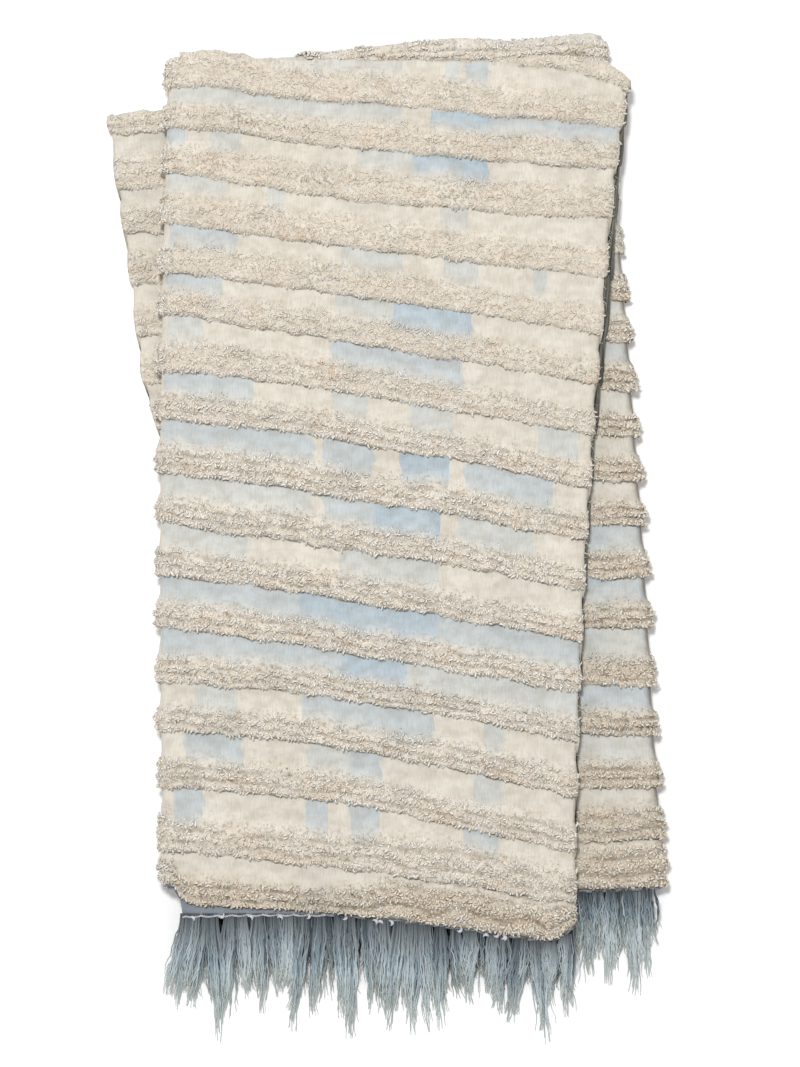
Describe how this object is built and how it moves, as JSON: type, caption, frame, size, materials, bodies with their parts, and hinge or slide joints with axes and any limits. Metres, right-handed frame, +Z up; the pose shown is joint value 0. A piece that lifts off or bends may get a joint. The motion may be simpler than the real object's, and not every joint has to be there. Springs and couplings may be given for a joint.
{
  "type": "throw blanket",
  "caption": "Woven throw with raised pile bands and slate-blue fringed ends, folded in half and then in three, lying flat",
  "frame": {"origin": "on the floor, under the middle of the folded throw's bounding box", "axes": "+X to the right as in the picture, +Y from the fringe to the crosswise fold, +Z up"},
  "size_m": [0.4976, 0.8876, 0.0436],
  "materials": {
    "woven_cloth": "loop pile bands on plain weave",
    "fringe_yarn": "loose soft yarn"
  },
  "bodies": {
    "root": {"throw_cloth": "woven_cloth", "fringe_upper_end": "fringe_yarn", "fringe_under_end": "fringe_yarn"}
  },
  "joints": []
}
